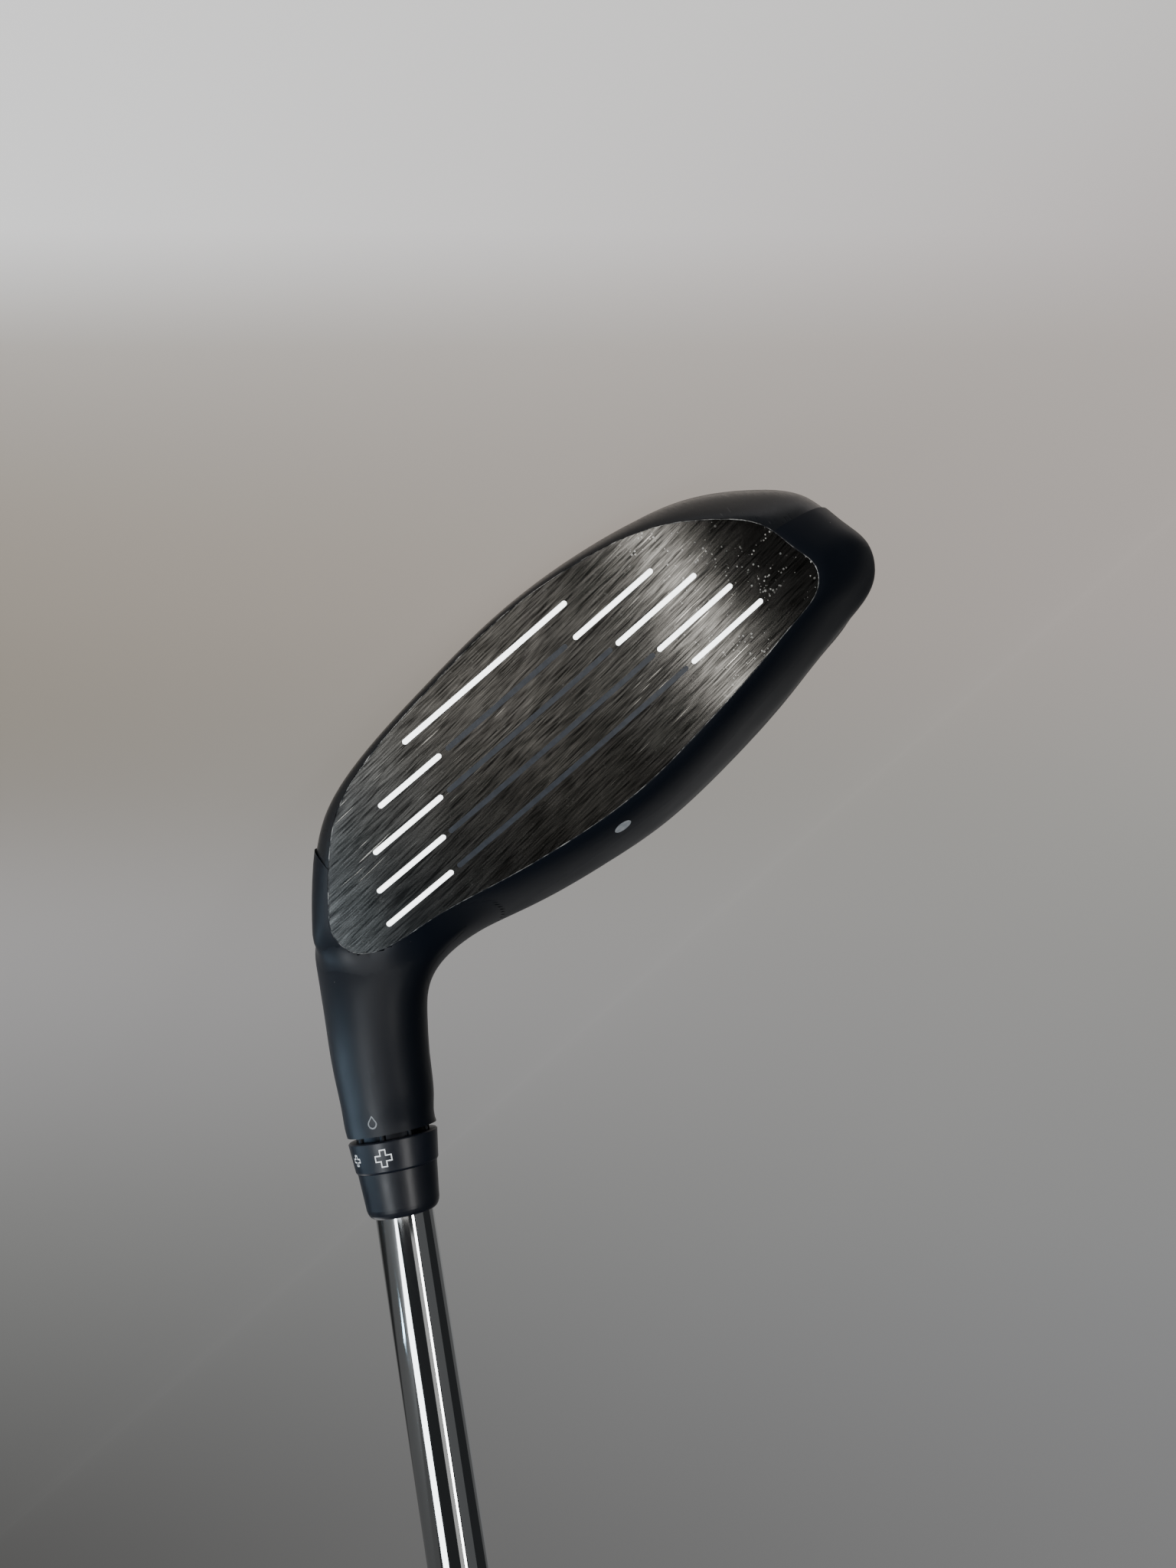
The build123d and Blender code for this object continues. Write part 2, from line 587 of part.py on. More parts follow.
for name, make in PIECES.items():
    export_step(Pos(0, -REST_Y, 0) * make(), f"parts/{name}.step")
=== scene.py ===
"""Looks of the adjustable hybrid golf club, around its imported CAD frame.

Everything is in metres, in the frame's own axes: Z up from the ground, the
face looks along -Y, the toe points along -X and the shaft leans towards +X.
"""
import json
import math

import bpy
import numpy as np
from mathutils import Matrix, Vector
from mathutils.bvhtree import BVHTree


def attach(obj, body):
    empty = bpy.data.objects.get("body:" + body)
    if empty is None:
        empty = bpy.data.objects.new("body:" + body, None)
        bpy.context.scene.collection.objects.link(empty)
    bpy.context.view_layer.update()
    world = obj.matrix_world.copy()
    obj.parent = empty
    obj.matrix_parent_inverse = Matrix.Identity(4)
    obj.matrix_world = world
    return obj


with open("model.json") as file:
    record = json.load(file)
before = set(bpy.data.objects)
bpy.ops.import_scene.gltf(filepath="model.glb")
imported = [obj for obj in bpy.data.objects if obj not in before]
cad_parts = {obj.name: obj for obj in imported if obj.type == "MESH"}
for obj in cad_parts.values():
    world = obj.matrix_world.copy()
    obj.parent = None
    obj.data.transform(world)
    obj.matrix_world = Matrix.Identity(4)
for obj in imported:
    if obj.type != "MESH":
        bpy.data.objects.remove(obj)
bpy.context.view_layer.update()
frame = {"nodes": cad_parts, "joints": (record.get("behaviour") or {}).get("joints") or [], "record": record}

# ------------------------------------------------------------- main places
JOINTS = {joint["name"]: joint for joint in frame["joints"]}
SHAFT_AXIS = Vector(JOINTS["head_index"]["axis"]).normalized()
HOSEL = Vector(JOINTS["screw_turn"]["pos_m"])       # a point on the shaft axis, in the hosel
FRONT = Vector((0, -1, 0))
HEELWARD = SHAFT_AXIS.cross(Vector((0, 1, 0))).normalized() * -1
LOFT = math.radians(22)
FACE_UP = Vector((0, math.sin(LOFT), math.cos(LOFT)))
FACE_OUT = Vector((0, -math.cos(LOFT), math.sin(LOFT)))
FACE_MIDDLE = Vector((0, -0.012, 0.0168))
FACE_AIM = Vector((0, -0.014, 0.018))      # the face's lamps aim at this height and depth
MM = 0.001
WHITE = (1, 1, 1)

# ------------------------------------------------- camera, fillet and edge
CAMERA_PLACE = Vector((-0.001993, -0.19232, 0.0608))
CAMERA_RIGHT = Vector((-0.7553, 0.1140, 0.6454)).normalized()
CAMERA_FORWARD = CAMERA_RIGHT.cross(Vector((0.6557, 0.1216, 0.7452))).normalized()
CAMERA_UP = CAMERA_RIGHT.cross(CAMERA_FORWARD)
CAMERA_LENS = 27.43            # millimetres, on the sensor below
CAMERA_SENSOR = 36.0
FADE_TOP, FADE_BOTTOM = -0.7, 0.7          # ends of the backdrop's tones, per metre ahead
VIEW_SIDE = 0.49               # left and right edge of the view, per metre ahead
FILLET_HEIGHTS = (-10.0, 30.01, 0.35)      # grid up the shaft axis, millimetres
FILLET_TURN = 1.5              # grid round the shaft axis, degrees
FILLET_REACH = 0.20            # rays towards the neck start this far out
FILLET_INNER = 0.004           # closer to the axis a ray has missed the neck
FILLET_LIMIT = 0.024           # the fillet stays this close to the shaft axis
FILLET_ROUNDS = 650
FILLET_STEP = 0.0003           # most that one round lifts a point
FILLET_DAMPING = 0.9           # share of its lift that a point takes in one round
FILLET_LEAST = 0.00001         # thinner than this there is no fillet
FILLET_COVER = 0.000015        # it lies this far over the cast surface
OTHER_MARGIN = 0.0002          # face and sole plate stay bare if this near the skin
EDGE_BEAD = 0.00009            # half the width of the worn line round the face
EDGE_SECTION = ((-1.0, -0.6), (-0.5, 0.3), (0.5, 0.3), (1.0, -0.6))     # across, out


# --------------------------------------------------------- material building
class Paint:
    """Small helper that builds one node material."""

    def __init__(self, name):
        self.material = bpy.data.materials.new(name)
        self.material.use_nodes = True
        self.tree = self.material.node_tree
        self.shader = self.tree.nodes["Principled BSDF"]
        self.position = self.tree.nodes.new("ShaderNodeTexCoord").outputs["Object"]

    def node(self, kind, inputs=(), **settings):
        made = self.tree.nodes.new(kind)
        for key, value in settings.items():
            setattr(made, key, value)
        for key, value in dict(inputs).items():
            self.put(value, made.inputs[key])
        return made

    def put(self, value, socket):
        if isinstance(value, bpy.types.NodeSocket):
            self.tree.links.new(value, socket)
        elif socket.type == "RGBA" and len(value) == 3:
            socket.default_value = (*value, 1)
        else:
            socket.default_value = value

    def set(self, **values):
        for key, value in values.items():
            self.put(value, self.shader.inputs[key.replace("_", " ")])

    def math(self, operation, a, b=0.0, c=0.0):
        inputs = {0: a, 1: b, 2: c}
        return self.node("ShaderNodeMath", inputs, operation=operation).outputs[0]

    def vector(self, operation, a, b=(0, 0, 0)):
        made = self.node("ShaderNodeVectorMath", {0: a, 1: b}, operation=operation)
        return made.outputs["Value" if operation == "DOT_PRODUCT" else "Vector"]

    def along(self, x_axis, y_axis, z_axis, origin=(0, 0, 0), scale=(1, 1, 1)):
        """Position in the frame of three axes, scaled along each."""
        moved = self.vector("SUBTRACT", self.position, Vector(origin))
        parts = [self.math("MULTIPLY", self.vector("DOT_PRODUCT", moved, Vector(axis)), factor)
                 for axis, factor in zip((x_axis, y_axis, z_axis), scale)]
        return self.node("ShaderNodeCombineXYZ", dict(enumerate(parts))).outputs[0]

    def noise(self, at, scale, detail=2.0, rough=0.5):
        made = self.node("ShaderNodeTexNoise", {"Vector": at, "Scale": scale, "Detail": detail,
                                                "Roughness": rough})
        return made.outputs["Fac"]

    def spots(self, at, scale):
        made = self.node("ShaderNodeTexVoronoi", {"Vector": at, "Scale": scale})
        return made.outputs["Distance"]

    def ramp(self, value, low, high, to_low=0.0, to_high=1.0, smooth=True):
        made = self.node("ShaderNodeMapRange", {"Value": value, "From Min": low, "From Max": high,
                                                "To Min": to_low, "To Max": to_high},
                         interpolation_type="SMOOTHSTEP" if smooth else "LINEAR")
        return made.outputs[0]

    def fade(self, value, tones):
        """Smooth run through tones placed along a value."""
        share = self.ramp(value, FADE_TOP, FADE_BOTTOM, smooth=False)
        made = self.node("ShaderNodeValToRGB", {"Fac": share})
        stops = made.color_ramp.elements
        made.color_ramp.interpolation = "B_SPLINE"
        stops.remove(stops[0])
        stops[0].position = tones[0][0]
        stops[0].color = (*tones[0][1], 1)
        for place, tone in tones[1:]:
            stops.new(place).color = (*tone, 1)
        return made.outputs["Color"]

    def mix(self, factor, a, b):
        made = self.node("ShaderNodeMix", data_type="RGBA")
        self.put(factor, made.inputs[0])
        self.put(a, made.inputs[6])
        self.put(b, made.inputs[7])
        return made.outputs[2]

    def bump(self, height, distance, strength):
        inputs = {"Height": height, "Distance": distance, "Strength": strength}
        return self.node("ShaderNodeBump", inputs).outputs[0]

    def turned(self, scale):
        """Position round and along the shaft axis, scaled along each."""
        return self.along(HEELWARD, FRONT, SHAFT_AXIS, HOSEL, scale)

    def ground(self, scale):
        """Position along the frame's own axes, scaled along each."""
        return self.along(Vector((1, 0, 0)), Vector((0, 1, 0)), Vector((0, 0, 1)), scale=scale)

    def roughness(self, value, low, high, smooth=True):
        """Roughness that runs from low to high over the usual spread of a noise."""
        self.set(Roughness=self.ramp(value, 0.3, 0.7, low, high, smooth=smooth))


def face_metal():
    """Dark brushed steel: fine streaks near the score lines' run, dust and nicks."""
    p = Paint("face_metal")
    lean = math.radians(3.5)       # the streaks lean this much from the score lines
    brush = Vector((math.cos(lean), 0, 0)) + FACE_UP * math.sin(lean)
    cross = FACE_UP * math.cos(lean) - Vector((math.sin(lean), 0, 0))

    def streaks(lengthwise, crosswise, detail, rough):
        at = p.along(brush, cross, FACE_OUT, FACE_MIDDLE, (lengthwise, crosswise, 300))
        return p.noise(at, 1.0, detail, rough)

    fine = streaks(150, 2700, 3.0, 0.6)
    hair = streaks(260, 5200, 2.0, 0.5)
    scratch = p.math("MULTIPLY", p.ramp(streaks(130, 3300, 1.0, 0.4), 0.70, 0.78),
                     p.ramp(p.noise(p.position, 55.0, 1.0), 0.40, 0.60))
    cloud = p.noise(p.along(brush, cross, FACE_OUT, FACE_MIDDLE, (70, 90, 90)), 1.0, 3.0, 0.6)
    x = p.node("ShaderNodeSeparateXYZ", {0: p.position}).outputs[0]
    toe_zone = p.ramp(x, -24 * MM, -36 * MM)
    heel_zone = p.ramp(x, 18 * MM, 42 * MM)
    dust_size = p.ramp(p.noise(p.position, 700.0, 2.0), 0.38, 0.70, 0.04, 0.30)
    specks = p.math("LESS_THAN", p.spots(p.position, 1500.0), dust_size)
    patchy = p.ramp(p.noise(p.position, 190.0, 3.0, 0.7), 0.40, 0.60)
    dust = p.math("MULTIPLY", p.math("MULTIPLY", specks, patchy), p.math("ADD", 0.10, toe_zone))
    tone = p.math("ADD", p.math("MULTIPLY", fine, 0.50), p.math("MULTIPLY", hair, 0.43))
    tone = p.math("ADD", tone, p.math("MULTIPLY", cloud, 0.07))
    warm = p.mix(heel_zone, (0.155, 0.150, 0.140), (0.140, 0.148, 0.150))
    dark = p.mix(heel_zone, (0.020, 0.0195, 0.018), (0.024, 0.026, 0.028))
    colour = p.mix(p.ramp(tone, 0.40, 0.64, smooth=False), dark, warm)
    colour = p.mix(p.math("MULTIPLY", scratch, 0.85), colour, (0.62, 0.60, 0.55))
    colour = p.mix(dust, colour, (0.40, 0.40, 0.38))
    normal = p.node("ShaderNodeNewGeometry").outputs["Normal"]
    tangent = p.vector("NORMALIZE", p.vector("CROSS_PRODUCT", normal, brush))
    p.set(Base_Color=colour, Metallic=p.math("SUBTRACT", 1.0, p.math("MULTIPLY", dust, 0.9)))
    p.set(Anisotropic=0.88, Tangent=tangent, Normal=p.bump(fine, 0.000003, 0.3))
    p.roughness(tone, 0.27, 0.23, smooth=False)
    return p.material


def body_paint():
    """Matte navy-black paint with a very fine orange peel and a few specks."""
    p = Paint("body_paint")
    peel = p.noise(p.position, 1400.0, 3.0, 0.6)
    mottle = p.noise(p.position, 90.0, 3.0, 0.55)
    specks = p.math("MULTIPLY", p.ramp(p.spots(p.position, 420.0), 0.05, 0.02),
                    p.ramp(p.noise(p.position, 120.0), 0.55, 0.6))
    colour = p.mix(mottle, (0.0022, 0.0040, 0.0082), (0.0034, 0.0058, 0.0112))
    colour = p.mix(p.math("MULTIPLY", specks, 0.8), colour, (0.25, 0.25, 0.24))
    p.set(Base_Color=colour, Specular_IOR_Level=0.32, Normal=p.bump(peel, 0.00002, 0.25))
    p.roughness(mottle, 0.40, 0.46, smooth=False)
    return p.material


def sole_finish():
    """Satin dark coat of the sole plate, faintly brushed front to back."""
    p = Paint("sole_finish")
    grain = p.noise(p.ground((2200, 140, 900)), 1.0, 3.0, 0.6)
    cloud = p.noise(p.position, 60.0, 2.0)
    scuff = p.ramp(p.noise(p.ground((900, 60, 300)), 1.0, 1.0), 0.74, 0.8)
    colour = p.mix(cloud, (0.010, 0.012, 0.015), (0.016, 0.018, 0.022))
    colour = p.mix(p.math("MULTIPLY", scuff, 0.5), colour, (0.12, 0.12, 0.12))
    p.set(Base_Color=colour, Metallic=0.25, Normal=p.bump(grain, 0.00001, 0.3))
    p.roughness(grain, 0.26, 0.36, smooth=False)
    return p.material


def fill_paint(name, dark, light, roughness, painted_glow):
    """Uneven paint in a groove or mark; its glow is painted light that keeps small marks clear."""
    p = Paint(name)
    mottle = p.noise(p.position, 900.0, 3.0, 0.6)
    colour = p.mix(p.ramp(mottle, 0.35, 0.65), dark, light)
    p.set(Base_Color=colour, Roughness=roughness, Normal=p.bump(mottle, 0.00002, 0.2))
    # Painted light: the paint shines with its own colour, as no real paint does.
    p.set(Emission_Color=colour, Emission_Strength=painted_glow)
    return p.material


def satin_plastic(name, dark, light, low_rough, high_rough):
    """Satin black surface turned on the shaft axis, with faint rings and wear."""
    p = Paint(name)
    rings = p.noise(p.turned((30, 30, 5200)), 1.0)
    mottle = p.noise(p.position, 500.0, 3.0, 0.6)
    p.set(Base_Color=p.mix(mottle, dark, light), Specular_IOR_Level=0.32)
    p.set(Normal=p.bump(rings, 0.000012, 0.3))
    p.roughness(mottle, low_rough, high_rough, smooth=False)
    return p.material


def chrome():
    """Polished chrome with faint lengthwise draw lines and a few water spots."""
    p = Paint("shaft_chrome")
    draw = p.noise(p.turned((1500, 1500, 9)), 1.0, 3.0, 0.6)
    haze = p.noise(p.position, 45.0)
    spots = p.math("MULTIPLY", p.ramp(p.spots(p.turned((1, 1, 0.35)), 500.0), 0.10, 0.04),
                   p.ramp(haze, 0.5, 0.62))
    p.set(Base_Color=p.mix(haze, (0.52, 0.54, 0.55), (0.60, 0.61, 0.615)), Metallic=1.0)
    p.set(Normal=p.bump(draw, 0.000004, 0.5))
    p.set(Roughness=p.math("ADD", p.ramp(draw, 0.3, 0.75, 0.035, 0.075),
                           p.math("MULTIPLY", spots, 0.2)))
    return p.material


def bare_metal(name, dark, light, low_rough, high_rough):
    """Machined metal with turning lines."""
    p = Paint(name)
    rings = p.noise(p.turned((200, 200, 6500)), 1.0)
    p.set(Base_Color=p.mix(rings, dark, light), Metallic=1.0, Normal=p.bump(rings, 0.00001, 0.4))
    p.roughness(rings, low_rough, high_rough)
    return p.material


def rubber(name, dark, light):
    """Grip rubber with a cord-like grain."""
    p = Paint(name)
    grain = p.noise(p.position, 900.0, 4.0, 0.6)
    worn = p.noise(p.position, 25.0, 3.0)
    p.set(Base_Color=p.mix(worn, dark, light), Normal=p.bump(grain, 0.00008, 0.5))
    p.roughness(worn, 0.62, 0.78)
    return p.material


def tape():
    """Woven paper tape."""
    p = Paint("tape")
    settings = {"Vector": p.position, "Scale": 900.0, "Distortion": 1.0}
    weave = p.node("ShaderNodeTexWave", settings).outputs["Fac"]
    p.set(Base_Color=p.mix(weave, (0.42, 0.38, 0.28), (0.60, 0.56, 0.44)), Roughness=0.8)
    p.set(Normal=p.bump(weave, 0.00006, 0.4))
    return p.material


def paint_nodes():
    """Every carried-over CAD node takes the material of its slot."""
    finishes = {
        "body_paint": body_paint(),
        "face_metal": face_metal(),
        "sole_finish": sole_finish(),
    }
    # The last number of each row is painted light: a glow the paint gives off though it is no lamp.
    for name, dark, light, roughness, painted_glow in (
            ("white_paint", (0.80, 0.83, 0.83), (0.88, 0.90, 0.90), 0.35, 4.2),
            ("mark_paint", (0.55, 0.57, 0.58), (0.72, 0.74, 0.75), 0.4, 0.8),
            ("dark_paint", (0.020, 0.025, 0.034), (0.030, 0.036, 0.047), 0.42, 0.15),
            ("grey_mark", (0.10, 0.11, 0.12), (0.14, 0.15, 0.16), 0.45, 1.0),
            ("nylon", (0.66, 0.66, 0.62), (0.74, 0.74, 0.70), 0.5, 0.0),
            ("plug_plastic", (0.05, 0.05, 0.05), (0.08, 0.08, 0.08), 0.6, 0.0)):
        finishes[name] = fill_paint(name, dark, light, roughness, painted_glow)
    for name, dark, light, low_rough, high_rough in (
            ("weight_metal", (0.10, 0.10, 0.105), (0.15, 0.15, 0.155), 0.30, 0.42),
            ("screw_steel", (0.07, 0.07, 0.075), (0.11, 0.11, 0.115), 0.25, 0.38),
            ("sleeve_alu", (0.010, 0.011, 0.013), (0.018, 0.019, 0.022), 0.30, 0.42)):
        finishes[name] = bare_metal(name, dark, light, low_rough, high_rough)
    for name, dark, light in (
            ("collar_anodised", (0.0040, 0.0055, 0.0100), (0.0065, 0.0085, 0.0140)),
            ("ferrule_plastic", (0.0040, 0.0050, 0.0085), (0.0065, 0.0080, 0.0120))):
        finishes[name] = satin_plastic(name, dark, light, 0.32, 0.40)
    finishes["shaft_chrome"] = chrome()
    finishes["tape"] = tape()
    finishes["grip_rubber"] = rubber("grip_rubber", (0.010, 0.010, 0.010), (0.018, 0.018, 0.018))
    finishes["cap_rubber"] = rubber("cap_rubber", (0.012, 0.012, 0.013), (0.020, 0.020, 0.021))
    for part in frame["record"]["subparts"]:
        node = frame["nodes"][part["node"]]
        finish = "mark_paint" if part["node"] == "collar_marks" else part["material_slot"]
        node.data.materials.clear()
        node.data.materials.append(finishes[finish])
    return finishes


def smooth_object(name, vertices, faces, material):
    """New smooth-shaded object in the scene."""
    mesh = bpy.data.meshes.new(name)
    mesh.from_pydata(vertices, [], faces)
    for polygon in mesh.polygons:
        polygon.use_smooth = True
    mesh.materials.append(material)
    made = bpy.data.objects.new(name, mesh)
    bpy.context.scene.collection.objects.link(made)
    return made


# ------------------------------------------------------------- neck fillet
def surface_of(*names):
    """Searchable outside of several CAD nodes."""
    points, triangles = [], []
    for name in names:
        mesh = frame["nodes"][name].data
        start = len(points)
        points += [v.co for v in mesh.vertices]
        triangles += [[start + k for k in polygon.vertices] for polygon in mesh.polygons]
    return BVHTree.FromPolygons(points, triangles)


def outward(turn):
    """Direction away from the shaft axis, turned from the heel to the front."""
    return HEELWARD * math.cos(turn) + FRONT * math.sin(turn)


def neck_radii(heights, turns, *names):
    """Distance from the shaft axis to the outside of CAD nodes, on a grid."""
    skin = surface_of(*names)
    radii = np.zeros((len(heights), len(turns)))
    for i, height in enumerate(heights):
        for j, turn in enumerate(turns):
            out = outward(turn)
            start = HOSEL + SHAFT_AXIS * height + out * FILLET_REACH
            hit = skin.ray_cast(start, -out, FILLET_REACH)[0]
            radii[i, j] = (hit - HOSEL - SHAFT_AXIS * height).dot(out) if hit else 0.0
    return radii


def filled(radii, fixed, heights, turns):
    """The same grid with its concave creases filled, as a soft fillet fills them.

    A point below the middle of its neighbours is lifted towards it, along the
    surface's own normal, and the longer way between neighbours counts less.
    """
    axis, heel, front = (np.array(v) for v in (SHAFT_AXIS, HEELWARD, FRONT))
    out = np.cos(turns)[:, None] * heel + np.sin(turns)[:, None] * front
    base = np.array(HOSEL) + heights[:, None] * axis
    free = (radii > FILLET_INNER) & (radii < FILLET_LIMIT) & ~fixed
    free[0], free[-1] = False, False
    for _ in range(FILLET_ROUNDS):
        points = base[:, None] + radii[..., None] * out[None]
        east, west = np.roll(points, -1, 1), np.roll(points, 1, 1)
        north, south = np.roll(points, -1, 0), np.roll(points, 1, 0)
        normal = np.cross(north - south, east - west)
        normal /= np.linalg.norm(normal, axis=2, keepdims=True) + 1e-12
        facing = (normal * out[None]).sum(2)
        normal *= np.sign(facing)[..., None]
        facing = np.clip(np.abs(facing), 0.25, 1)
        wide = np.linalg.norm(east - west, axis=2)
        tall = np.linalg.norm(north - south, axis=2)
        share = (tall ** 2 / (tall ** 2 + wide ** 2 + 1e-12))[..., None]
        middle = share * (east + west) / 2 + (1 - share) * (north + south) / 2
        lift = ((middle - points) * normal).sum(2)
        radii = radii + np.where(free, np.clip(lift, 0, FILLET_STEP) / facing, 0) * FILLET_DAMPING
    return radii


def neck_fillet(material):
    """Cast fillet that rounds the joint of neck and head."""
    heights = np.arange(*FILLET_HEIGHTS) * MM
    turns = np.arange(0, 360, FILLET_TURN) * math.pi / 180
    body = neck_radii(heights, turns, "head_body", "crown_plate")
    others = neck_radii(heights, turns, "face_plate", "sole_plate")
    before = np.maximum(body, others)
    fixed = others > body - OTHER_MARGIN
    after = filled(before, fixed, heights, turns)
    raised = (after - before > FILLET_LEAST) & ~fixed
    index = -np.ones(before.shape, int)
    vertices, faces = [], []
    rows, columns = before.shape
    for i in range(rows - 1):
        for j in range(columns):
            ahead = (j + 1) % columns
            corners = [(i, j), (i, ahead), (i + 1, ahead), (i + 1, j)]
            if sum(raised[c] for c in corners) < 3:
                continue
            for c in corners:
                if index[c] < 0:
                    index[c] = len(vertices)
                    centre = HOSEL + SHAFT_AXIS * heights[c[0]]
                    vertices.append(centre + outward(turns[c[1]]) * (after[c] + FILLET_COVER))
            faces.append([index[c] for c in corners])
    fillet = smooth_object("neck_fillet", vertices, faces, material)
    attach(fillet, "head")


# ---------------------------------------------------------------- face edge
def burnished_edge():
    """Thin worn line where the coat ends round the bare face."""
    p = Paint("burnished_edge")
    worn = p.ramp(p.noise(p.position, 260.0, 4.0, 0.75), 0.42, 0.66)
    p.set(Base_Color=p.mix(worn, (0.03, 0.034, 0.04), (0.50, 0.51, 0.51)), Metallic=0.8)
    p.set(Roughness=p.ramp(worn, 0.0, 1.0, 0.45, 0.30))
    return p.material


def face_outline():
    """Points round the front edge of the face plate, in order."""
    mesh = frame["nodes"]["face_plate"].data
    uses = {}
    for polygon in mesh.polygons:
        for key in polygon.edge_keys:
            uses.setdefault(key, []).append(polygon.normal.dot(FACE_OUT))
    spot = [tuple(round(c, 6) for c in vertex.co) for vertex in mesh.vertices]
    links = {}
    for (first, second), fronts in uses.items():
        if len(fronts) == 1 and fronts[0] > 0.8:
            links.setdefault(spot[first], []).append(spot[second])
            links.setdefault(spot[second], []).append(spot[first])
    ring = [max(links)]
    while True:
        ahead = [other for other in links[ring[-1]] if other not in ring[-2:] + ring[:1]]
        if not ahead or len(ring) > len(links):
            return [Vector(point) for point in ring]
        ring.append(ahead[0])


def face_edge():
    """Fine bead along the outline of the face."""
    ring = face_outline()
    middle = sum(ring, Vector()) / len(ring)
    vertices, faces = [], []
    for k, point in enumerate(ring):
        run = (ring[(k + 1) % len(ring)] - ring[k - 1]).normalized()
        side = run.cross(FACE_OUT).normalized()
        side *= 1 if side.dot(point - middle) > 0 else -1
        width = EDGE_BEAD * (0.75 + 0.5 * math.sin(k * 1.7) * math.sin(k * 0.43))
        for across, out in EDGE_SECTION:
            vertices.append(point + side * across * width + FACE_OUT * out * EDGE_BEAD)
        for j in range(len(EDGE_SECTION) - 1):
            here = len(EDGE_SECTION) * k + j
            there = len(EDGE_SECTION) * ((k + 1) % len(ring)) + j
            faces.append([here, here + 1, there + 1, there])
    edge = smooth_object("face_edge", vertices, faces, burnished_edge())
    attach(edge, "head")


# ------------------------------------------------------------------- camera
def add_camera():
    """Camera close to the face and a little above it, with the shaft pointing down."""
    data = bpy.data.cameras.new("camera")
    camera = bpy.data.objects.new("camera", data)
    bpy.context.scene.collection.objects.link(camera)
    turn = Matrix((CAMERA_RIGHT, CAMERA_UP, -CAMERA_FORWARD)).transposed()
    camera.matrix_world = Matrix.Translation(CAMERA_PLACE) @ turn.to_4x4()
    data.lens = CAMERA_LENS
    data.sensor_width = CAMERA_SENSOR
    data.clip_start = 0.01
    data.clip_end = 20.0
    bpy.context.scene.camera = camera


# ------------------------------------------------------------------- lights
def strip(name, angle, distance, width, low, high, radiance, colour=WHITE):
    """Soft light parallel to the shaft.

    It is seen from the shaft at an angle from the front, heel side positive.
    It is as wide as given in degrees seen from there, and it reaches from low
    to high up the shaft axis.
    """
    turn = math.radians(angle)
    out = FRONT * math.cos(turn) + HEELWARD * math.sin(turn)
    place = HOSEL + out * distance + SHAFT_AXIS * (low + high) / 2
    side = SHAFT_AXIS.cross(out)
    return lamp(name, place, Matrix((side, SHAFT_AXIS, out)).transposed(),
                2 * distance * math.tan(math.radians(width / 2)), high - low, radiance, colour)


def facing(place, target):
    """Turn of a lamp at a place that shines at a target, with its sides level."""
    back = (place - target).normalized()
    side = Vector((0, 0, 1)).cross(back).normalized()
    return Matrix((side, back.cross(side), back)).transposed()


def lamp(name, place, turn, wide, tall, radiance, colour=WHITE):
    """Rectangular light of an even radiance."""
    data = bpy.data.lights.new(name, "AREA")
    data.shape = "RECTANGLE"
    data.size = wide
    data.size_y = tall
    data.energy = radiance * math.pi * wide * tall
    data.color = colour
    made = bpy.data.objects.new(name, data)
    bpy.context.scene.collection.objects.link(made)
    made.matrix_world = Matrix.Translation(place) @ turn.to_4x4()
    return made


def face_lamp(name, place, x, wide, tall, radiance):
    """Upright warm lamp aimed at one place along the face."""
    turn = facing(place, FACE_AIM + Vector((x, 0, 0)))
    lamp(name, place, turn, wide, tall, radiance, (1.0, 0.985, 0.96))


def light_only(name, objects, lamps):
    """These lamps shine on these objects and on nothing else."""
    lit = bpy.data.collections.new(name)
    for lit_object in objects:
        lit.objects.link(lit_object)
    for made in lamps:
        made.light_linking.receiver_collection = lit


def add_lights():
    """Strips that draw the long bands in the shaft, and lights for the face.

    Most of heel_low_strip lies under the floor, so only its top edge shines.
    """
    strip("heel_low_strip", 69, 0.33, 27, -0.06, 0.157, 13.0, (0.55, 0.80, 1.0))
    strip("heel_strip", 29, 0.75, 22, 0.17, 0.60, 9.0, (0.93, 0.97, 1.0))
    light_only("tube_only",
               [frame["nodes"][name] for name in ("shaft", "ferrule", "setting_collar")],
               [strip("toe_strip", -45.5, 0.25, 8, 0.090, 0.25, 16.0, (1.0, 0.99, 0.97)),
                strip("toe_mid", -33, 0.30, 13, 0.11, 0.30, 0.6, (1.0, 0.98, 0.95))])
    strip("toe_grey", -72, 0.7, 36, 0.15, 0.70, 0.10)
    strip("face_soft", -15, 0.215, 26, -0.03, 0.088, 1.5, (1.0, 0.97, 0.93))
    strip("heel_soft", 12, 0.215, 26, -0.03, 0.088, 3.7, (0.95, 0.98, 1.0))
    face_lamp("face_band", Vector((-0.091, -0.151, 0.110)), -0.031, 0.022, 0.15, 7.4)
    face_lamp("face_shoulder", Vector((-0.055, -0.151, 0.104)), -0.018, 0.050, 0.08, 0.9)
    shining_up = Matrix(((0, 1, 0), (-1, 0, 0), (0, 0, -1))).transposed()
    lamp("heel_glow", Vector((0.170, -0.045, 0.002)), shining_up, 0.11, 0.09, 5.5,
         (0.58, 0.80, 1.0))
    rear = Vector((2.6, 1.6, 1.3))
    club = list(frame["nodes"].values())
    club += [bpy.data.objects[name] for name in ("neck_fillet", "face_edge")]
    light_only("club_only", club,
               [lamp("rear_soft", rear, facing(rear, Vector((0.2, 0.0, 0.3))), 1.6, 1.8, 2.5)])
    world = bpy.data.worlds.new("studio")
    world.use_nodes = True
    background = world.node_tree.nodes["Background"]
    background.inputs["Color"].default_value = (0.95, 1.0, 1.05, 1)
    background.inputs["Strength"].default_value = 0.03
    bpy.context.scene.world = world
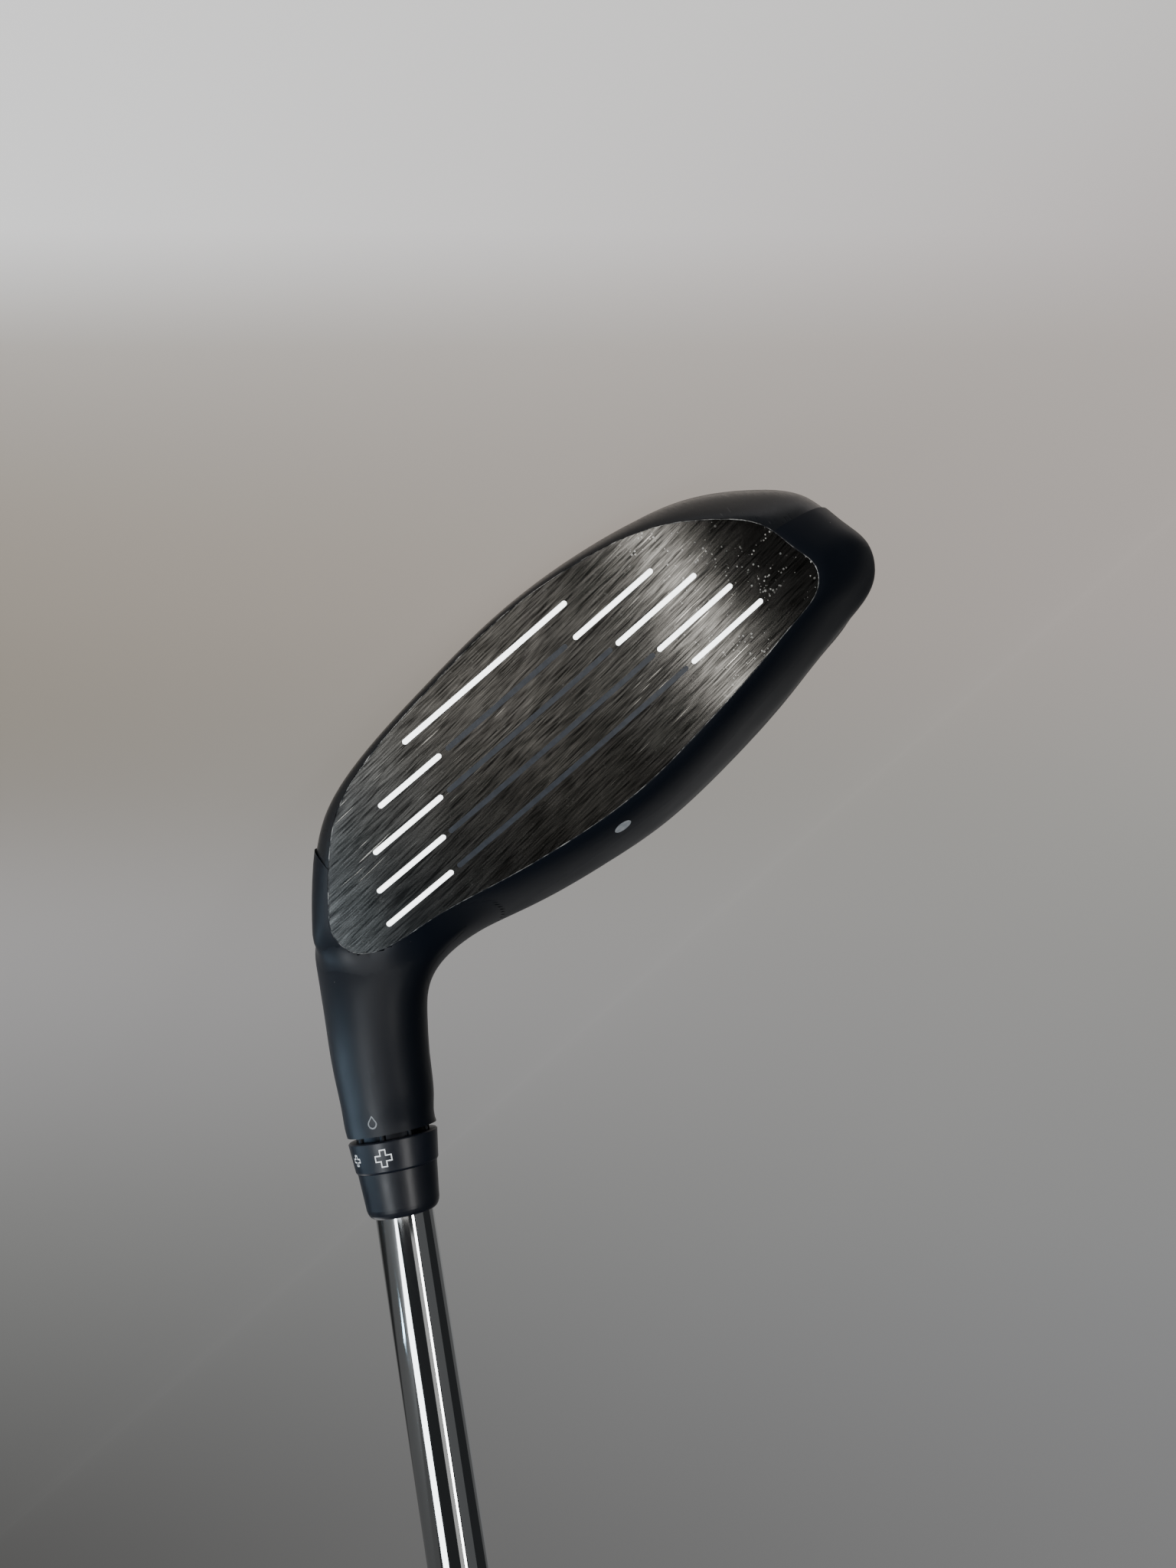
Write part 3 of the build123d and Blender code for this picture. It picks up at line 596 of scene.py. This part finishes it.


# ----------------------------------------------------------------- backdrop
# Painted light and shade on the backdrop: tones of its glow down the camera's
# view, at its left and right edge. A place is a share of the way from FADE_TOP to FADE_BOTTOM.
HEEL_SIDE_PAINTED_LIGHT = [
    (0.03, (1.75, 1.74, 1.80)), (0.10, (1.50, 1.50, 1.55)), (0.17, (1.00, 1.00, 1.00)),
    (0.24, (0.40, 0.36, 0.32)), (0.40, (0.30, 0.26, 0.21)), (0.50, (0.25, 0.225, 0.19)),
    (0.58, (0.38, 0.37, 0.37)), (0.67, (0.29, 0.285, 0.285)), (0.76, (0.20, 0.20, 0.195)),
    (0.86, (0.14, 0.14, 0.138)), (0.97, (0.088, 0.087, 0.085)),
]
TOE_SIDE_PAINTED_LIGHT = [
    (0.03, (0.80, 0.79, 0.77)), (0.17, (0.66, 0.60, 0.59)), (0.24, (0.52, 0.48, 0.44)),
    (0.40, (0.46, 0.41, 0.385)), (0.49, (0.39, 0.385, 0.365)), (0.60, (0.32, 0.315, 0.305)),
    (0.76, (0.265, 0.268, 0.27)), (0.86, (0.23, 0.23, 0.235)), (0.97, (0.195, 0.195, 0.195)),
]
# Beyond each edge of the view: where the even painted tone starts and is full,
# per metre ahead, and the tone itself; the heel side holds the darkest painted shade.
HEEL_FADE, TOE_FADE = (-0.53, -0.66, 0.010), (0.53, 0.66, 0.12)
UPPER_FADE, LOWER_FADE = (-0.68, -0.82, 0.10), (0.68, 0.82, 0.10)
FLOOR_FRONT, FLOOR_BACK = -6.0, 5.0
FLOOR_HALF = 7.0               # half its width
FLOOR_DROP = 0.0004            # it lies this far under the sole
WALL_RISE = 4.5
WALL_BEND, BEND_STEPS = 1.2, 24


def add_backdrop():
    """Pale floor that curves up into a wall behind the club.

    Its glow is painted light and shade that follows the camera's view: it runs
    between the tones above inside the view, and outside it fades to one even tone on each side.
    """
    bends = [math.pi / 2 * k / BEND_STEPS for k in range(1, BEND_STEPS + 1)]
    start = FLOOR_BACK - WALL_BEND
    profile = [(FLOOR_FRONT, 0.0), (start, 0.0)]
    profile += [(start + WALL_BEND * math.sin(bend), WALL_BEND - WALL_BEND * math.cos(bend))
                for bend in bends]
    profile += [(FLOOR_BACK, WALL_RISE)]
    vertices = [(x, y, z - FLOOR_DROP) for y, z in profile for x in (-FLOOR_HALF, FLOOR_HALF)]
    faces = [(2 * k, 2 * k + 1, 2 * k + 3, 2 * k + 2) for k in range(len(profile) - 1)]
    p = Paint("backdrop")
    sight = p.vector("SUBTRACT", p.position, CAMERA_PLACE)
    ahead = p.math("MAXIMUM", p.vector("DOT_PRODUCT", sight, CAMERA_FORWARD), 0.02)
    down = p.math("DIVIDE", p.vector("DOT_PRODUCT", sight, -CAMERA_UP), ahead)
    side = p.math("DIVIDE", p.vector("DOT_PRODUCT", sight, CAMERA_RIGHT), ahead)
    heel = p.fade(down, HEEL_SIDE_PAINTED_LIGHT)
    toe = p.fade(down, TOE_SIDE_PAINTED_LIGHT)
    painted_glow = p.mix(p.ramp(side, -VIEW_SIDE, VIEW_SIDE, smooth=False), heel, toe)
    for value, (start_fade, end_fade, far) in ((side, HEEL_FADE), (side, TOE_FADE),
                                               (down, UPPER_FADE), (down, LOWER_FADE)):
        painted_glow = p.mix(p.ramp(value, start_fade, end_fade), painted_glow, (far, far, far))
    cloud = p.noise(p.position, 1.5)
    p.set(Base_Color=p.mix(cloud, (0.10, 0.098, 0.095), (0.13, 0.128, 0.124)), Roughness=0.9)
    # The emission is painted light and shade: brighter towards the top of the view, darker towards the
    # bottom and darkest beyond the heel side.
    p.set(Emission_Color=painted_glow, Emission_Strength=1.0)
    smooth_object("backdrop", vertices, faces, p.material)


finishes = paint_nodes()
neck_fillet(finishes["body_paint"])
face_edge()
add_camera()
add_lights()
add_backdrop()
